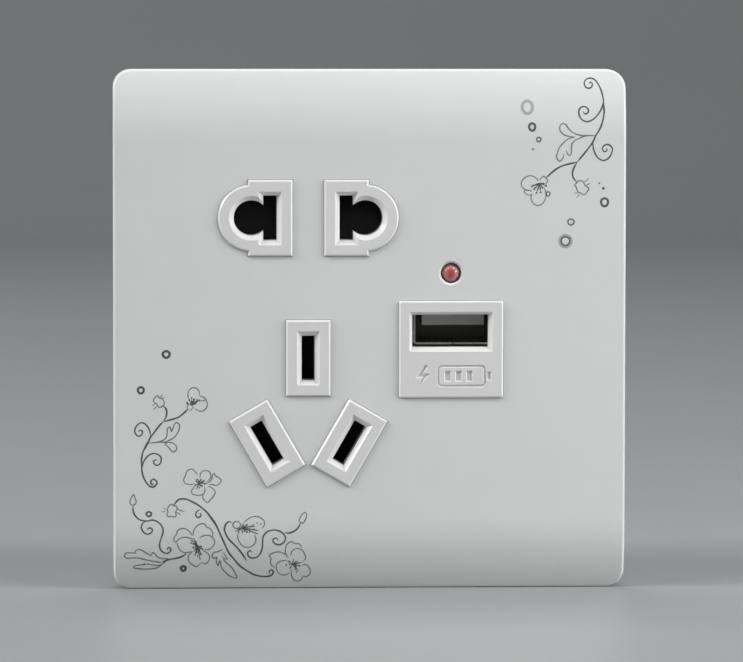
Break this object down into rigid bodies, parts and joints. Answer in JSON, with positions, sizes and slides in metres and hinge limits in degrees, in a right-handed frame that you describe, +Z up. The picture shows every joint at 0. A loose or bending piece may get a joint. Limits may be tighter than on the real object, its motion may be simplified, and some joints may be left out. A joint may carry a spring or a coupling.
{
  "type": "usb wall socket",
  "caption": "Square white wall socket with two-pin and three-pin outlets behind sprung shutters, a USB charging port, a status light and a pull-off face plate.",
  "frame": {"origin": "centre of the plate on the wall plane, at the back face of the mounting frame", "axes": "+X to the right seen from the front, +Y into the wall, +Z up"},
  "size_m": [0.086, 0.0344, 0.0874],
  "materials": {
    "white_plate": "satin moulded, thin grey floral line print in two corners",
    "white_core": "satin moulded",
    "frame_plastic": "fine matt moulded",
    "housing_plastic": "fine matt moulded",
    "black_plastic": "matt black moulded",
    "grey_plastic": "matt dark grey moulded",
    "zinc_steel": "bright zinc plated",
    "nickel_steel": "nickel plated sheet",
    "spring_steel": "drawn wire",
    "brass_strip": "stamped strip",
    "brass_block": "machined",
    "gold_contact": "plated contact strip",
    "board_green": "lacquered board",
    "led_resin": "clear tinted resin",
    "ferrite": "sintered dark grey",
    "winding_tape": "taped winding",
    "can_sleeve": "shrink sleeve",
    "blue_ceramic": "dipped coating",
    "resistor_coat": "lacquer",
    "wire_red": "insulation",
    "wire_blue": "insulation"
  },
  "bodies": {
    "socket": {"mounting_frame": "frame_plastic", "socket_core": "white_core", "usb_bezel": "white_core", "rear_housing": "housing_plastic", "housing_screws": "zinc_steel", "shutter_cover": "housing_plastic", "two_pin_spring": "spring_steel", "three_pin_spring": "spring_steel", "live_contact": "brass_strip", "neutral_contact": "brass_strip", "earth_contact": "brass_strip", "live_terminal": "brass_block", "neutral_terminal": "brass_block", "earth_terminal": "brass_block", "terminal_screws": "zinc_steel", "charger_board": "board_green", "usb_shell": "nickel_steel", "usb_tongue": "grey_plastic", "usb_contacts": "gold_contact", "status_led": "led_resin", "led_leads": "nickel_steel", "transformer_core": "ferrite", "transformer_winding": "winding_tape", "input_capacitor": "can_sleeve", "output_capacitor": "can_sleeve", "rectifier": "black_plastic", "controller_chip": "black_plastic", "safety_capacitor": "blue_ceramic", "fuse_resistor": "resistor_coat", "live_link_wire": "wire_red", "neutral_link_wire": "wire_blue"},
    "plate": {"face_plate": "white_plate"},
    "two_pin_gate": {"two_pin_shutter": "black_plastic"},
    "three_pin_gate": {"three_pin_shutter": "black_plastic"}
  },
  "joints": [
    {"name": "plate_pull", "type": "slide", "parent": "socket", "child": "plate", "axis": [0, -1, 0], "range_m": [0, 0.012]},
    {"name": "two_pin_shutter_slide", "type": "slide", "parent": "socket", "child": "two_pin_gate", "axis": [0, 0, -1], "range_m": [0, 0.0078], "stiffness_N_per_m": 60, "springref_m": -0.004, "deforming": ["two_pin_spring"]},
    {"name": "three_pin_shutter_slide", "type": "slide", "parent": "socket", "child": "three_pin_gate", "axis": [1, 0, 0], "range_m": [0, 0.0036], "stiffness_N_per_m": 90, "springref_m": -0.003, "deforming": ["three_pin_spring"]}
  ]
}
